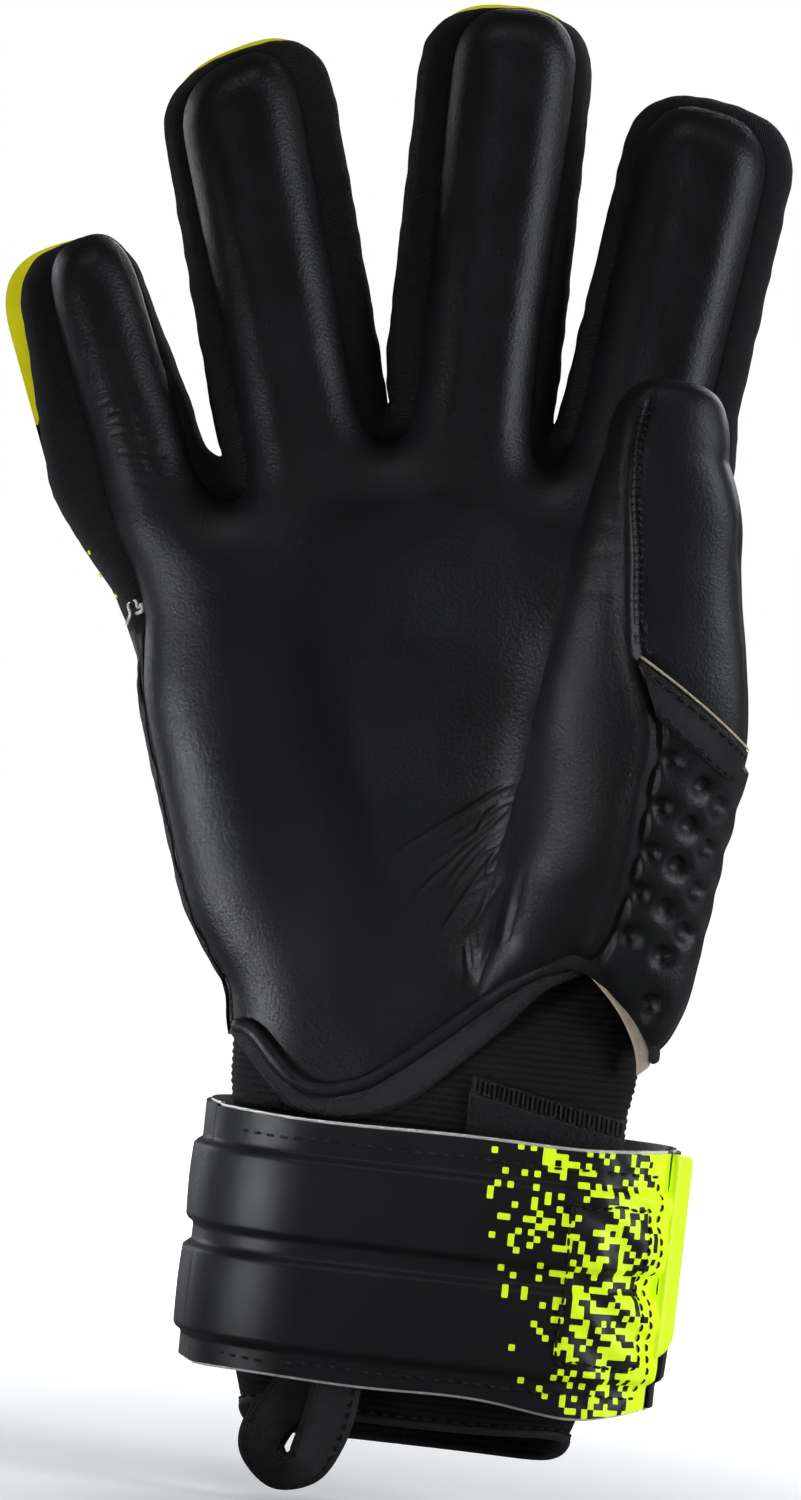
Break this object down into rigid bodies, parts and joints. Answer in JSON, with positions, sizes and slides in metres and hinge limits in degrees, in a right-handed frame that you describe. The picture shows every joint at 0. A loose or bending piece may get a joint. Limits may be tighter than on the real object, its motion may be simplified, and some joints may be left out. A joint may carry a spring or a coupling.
{
  "type": "goalkeeper glove",
  "caption": "Right-hand goalkeeper glove with latex foam palm and fingers, knit side panels, elastic cuff, wrap-around wrist strap and pull loop.",
  "frame": {"origin": "centre of the hand opening at the cuff's hem", "axes": "+Z from the cuff to the fingertips, +X towards the thumb side, -Y towards the palm side"},
  "size_m": [0.1506, 0.0823, 0.293],
  "materials": {
    "palm_latex": "satin latex foam with a fine pore grain",
    "dimpled_latex": "satin latex foam with sunken dimples",
    "back_latex": "satin latex, slightly greyer than the palm",
    "knit_mesh": "matt knitted mesh",
    "lining_fabric": "matt brushed lining",
    "binding_tape": "matt woven tape",
    "ribbed_elastic": "matt ribbed elastic knit",
    "hook_and_loop": "fuzzy hook-and-loop fastener",
    "strap_latex": "satin rubberised face with neon yellow squares",
    "white_foam": "matt white foam core",
    "cream_foam": "matt cream latex backing",
    "neon_fabric": "matt neon yellow"
  },
  "bodies": {
    "cuff": {"cuff_elastic": "ribbed_elastic", "cuff_hem": "binding_tape", "loop_patch": "hook_and_loop", "loop_patch_hem": "binding_tape", "strap_anchor": "binding_tape", "strap_back_latex": "strap_latex", "strap_back_foam": "white_foam", "strap_side_flap": "neon_fabric"},
    "hand": {"palm_latex": "palm_latex", "palm_lining": "lining_fabric", "backhand_panel": "back_latex", "backhand_lining": "lining_fabric", "little_side_gusset": "knit_mesh", "thumb_side_gusset": "knit_mesh", "little_ring_gusset": "knit_mesh", "ring_middle_gusset": "knit_mesh", "middle_index_gusset": "knit_mesh", "palm_binding": "binding_tape", "hand_wrist_elastic": "ribbed_elastic", "thenar_panel": "palm_latex", "dimple_pad": "dimpled_latex", "pad_binding": "binding_tape", "pad_liner": "cream_foam"},
    "little_root": {"little_root_face": "palm_latex", "little_root_gusset": "knit_mesh", "little_root_back": "back_latex"},
    "little_tip": {"little_tip_face": "palm_latex", "little_tip_gusset": "knit_mesh", "little_tip_back": "back_latex"},
    "ring_root": {"ring_root_face": "palm_latex", "ring_root_gusset": "knit_mesh", "ring_root_back": "back_latex"},
    "ring_tip": {"ring_tip_face": "palm_latex", "ring_tip_gusset": "knit_mesh", "ring_tip_back": "back_latex"},
    "middle_root": {"middle_root_face": "palm_latex", "middle_root_gusset": "knit_mesh", "middle_root_back": "back_latex"},
    "middle_tip": {"middle_tip_face": "palm_latex", "middle_tip_gusset": "knit_mesh", "middle_tip_back": "back_latex"},
    "index_root": {"index_root_face": "palm_latex", "index_root_gusset": "knit_mesh", "index_root_back": "back_latex"},
    "index_tip": {"index_tip_face": "palm_latex", "index_tip_gusset": "knit_mesh", "index_tip_back": "back_latex"},
    "thumb_root": {"thumb_root_palm_panel": "palm_latex", "thumb_root_back_panel": "back_latex"},
    "thumb_tip": {"thumb_tip_palm_panel": "palm_latex", "thumb_tip_back_panel": "back_latex"},
    "strap_front": {"strap_front_latex": "strap_latex", "strap_front_foam": "white_foam"},
    "strap_end": {"strap_end_latex": "strap_latex", "strap_end_foam": "white_foam", "hook_patch": "hook_and_loop"},
    "pull_loop": {"pull_loop": "binding_tape"}
  },
  "joints": [
    {"name": "wrist_flex", "type": "hinge", "parent": "cuff", "child": "hand", "pos_m": [0, 0, 0.07], "axis": [1, 0, 0], "range_deg": [-30, 25], "stiffness_Nm_per_rad": 1},
    {"name": "little_knuckle", "type": "hinge", "parent": "hand", "child": "little_root", "pos_m": [-0.07693, -0.007, 0.18973], "axis": [0.9336, 0, 0.3584], "range_deg": [-10, 70], "stiffness_Nm_per_rad": 0.15},
    {"name": "little_middle_joint", "type": "hinge", "parent": "little_root", "child": "little_tip", "pos_m": [-0.08338, -0.007, 0.20654], "axis": [0.9336, 0, 0.3584], "range_deg": [0, 80], "stiffness_Nm_per_rad": 0.15},
    {"name": "ring_knuckle", "type": "hinge", "parent": "hand", "child": "ring_root", "pos_m": [-0.04526, -0.007, 0.20233], "axis": [0.9588, 0, 0.284], "range_deg": [-10, 70], "stiffness_Nm_per_rad": 0.15},
    {"name": "ring_middle_joint", "type": "hinge", "parent": "ring_root", "child": "ring_tip", "pos_m": [-0.05321, -0.007, 0.22918], "axis": [0.9588, 0, 0.284], "range_deg": [0, 80], "stiffness_Nm_per_rad": 0.15},
    {"name": "middle_knuckle", "type": "hinge", "parent": "hand", "child": "middle_root", "pos_m": [-0.01078, -0.007, 0.2096], "axis": [1, 0, 0.0087], "range_deg": [-10, 70], "stiffness_Nm_per_rad": 0.15},
    {"name": "middle_middle_joint", "type": "hinge", "parent": "middle_root", "child": "middle_tip", "pos_m": [-0.01104, -0.007, 0.2396], "axis": [1, 0, 0.0087], "range_deg": [0, 80], "stiffness_Nm_per_rad": 0.15},
    {"name": "index_knuckle", "type": "hinge", "parent": "hand", "child": "index_root", "pos_m": [0.0246, -0.007, 0.20894], "axis": [0.9938, 0, -0.1115], "range_deg": [-10, 70], "stiffness_Nm_per_rad": 0.15},
    {"name": "index_middle_joint", "type": "hinge", "parent": "index_root", "child": "index_tip", "pos_m": [0.0275, -0.007, 0.23478], "axis": [0.9938, 0, -0.1115], "range_deg": [0, 80], "stiffness_Nm_per_rad": 0.15},
    {"name": "thumb_spread", "type": "hinge", "parent": "hand", "child": "thumb_root", "pos_m": [0.029, -0.032, 0.146], "axis": [0, 0.9703, 0.2419], "range_deg": [-15, 45], "stiffness_Nm_per_rad": 0.15},
    {"name": "thumb_bend", "type": "hinge", "parent": "thumb_root", "child": "thumb_tip", "pos_m": [0.023, -0.03926, 0.17511], "axis": [0, 0.9703, 0.2419], "range_deg": [-45, 0], "stiffness_Nm_per_rad": 0.1},
    {"name": "strap_open", "type": "hinge", "parent": "cuff", "child": "strap_front", "pos_m": [-0.03993, -0.01838, 0.0355], "axis": [0, 0, -1], "range_deg": [0, 110], "stiffness_Nm_per_rad": 0.1},
    {"name": "strap_peel", "type": "hinge", "parent": "strap_front", "child": "strap_end", "pos_m": [0.0092, -0.024, 0.0355], "axis": [0, 0, -1], "range_deg": [0, 70], "stiffness_Nm_per_rad": 0.1},
    {"name": "pull_loop_swing", "type": "hinge", "parent": "cuff", "child": "pull_loop", "pos_m": [-0.0168, -0.019, 0.008], "axis": [-1, 0, 0], "range_deg": [0, 80], "stiffness_Nm_per_rad": 0.01}
  ]
}
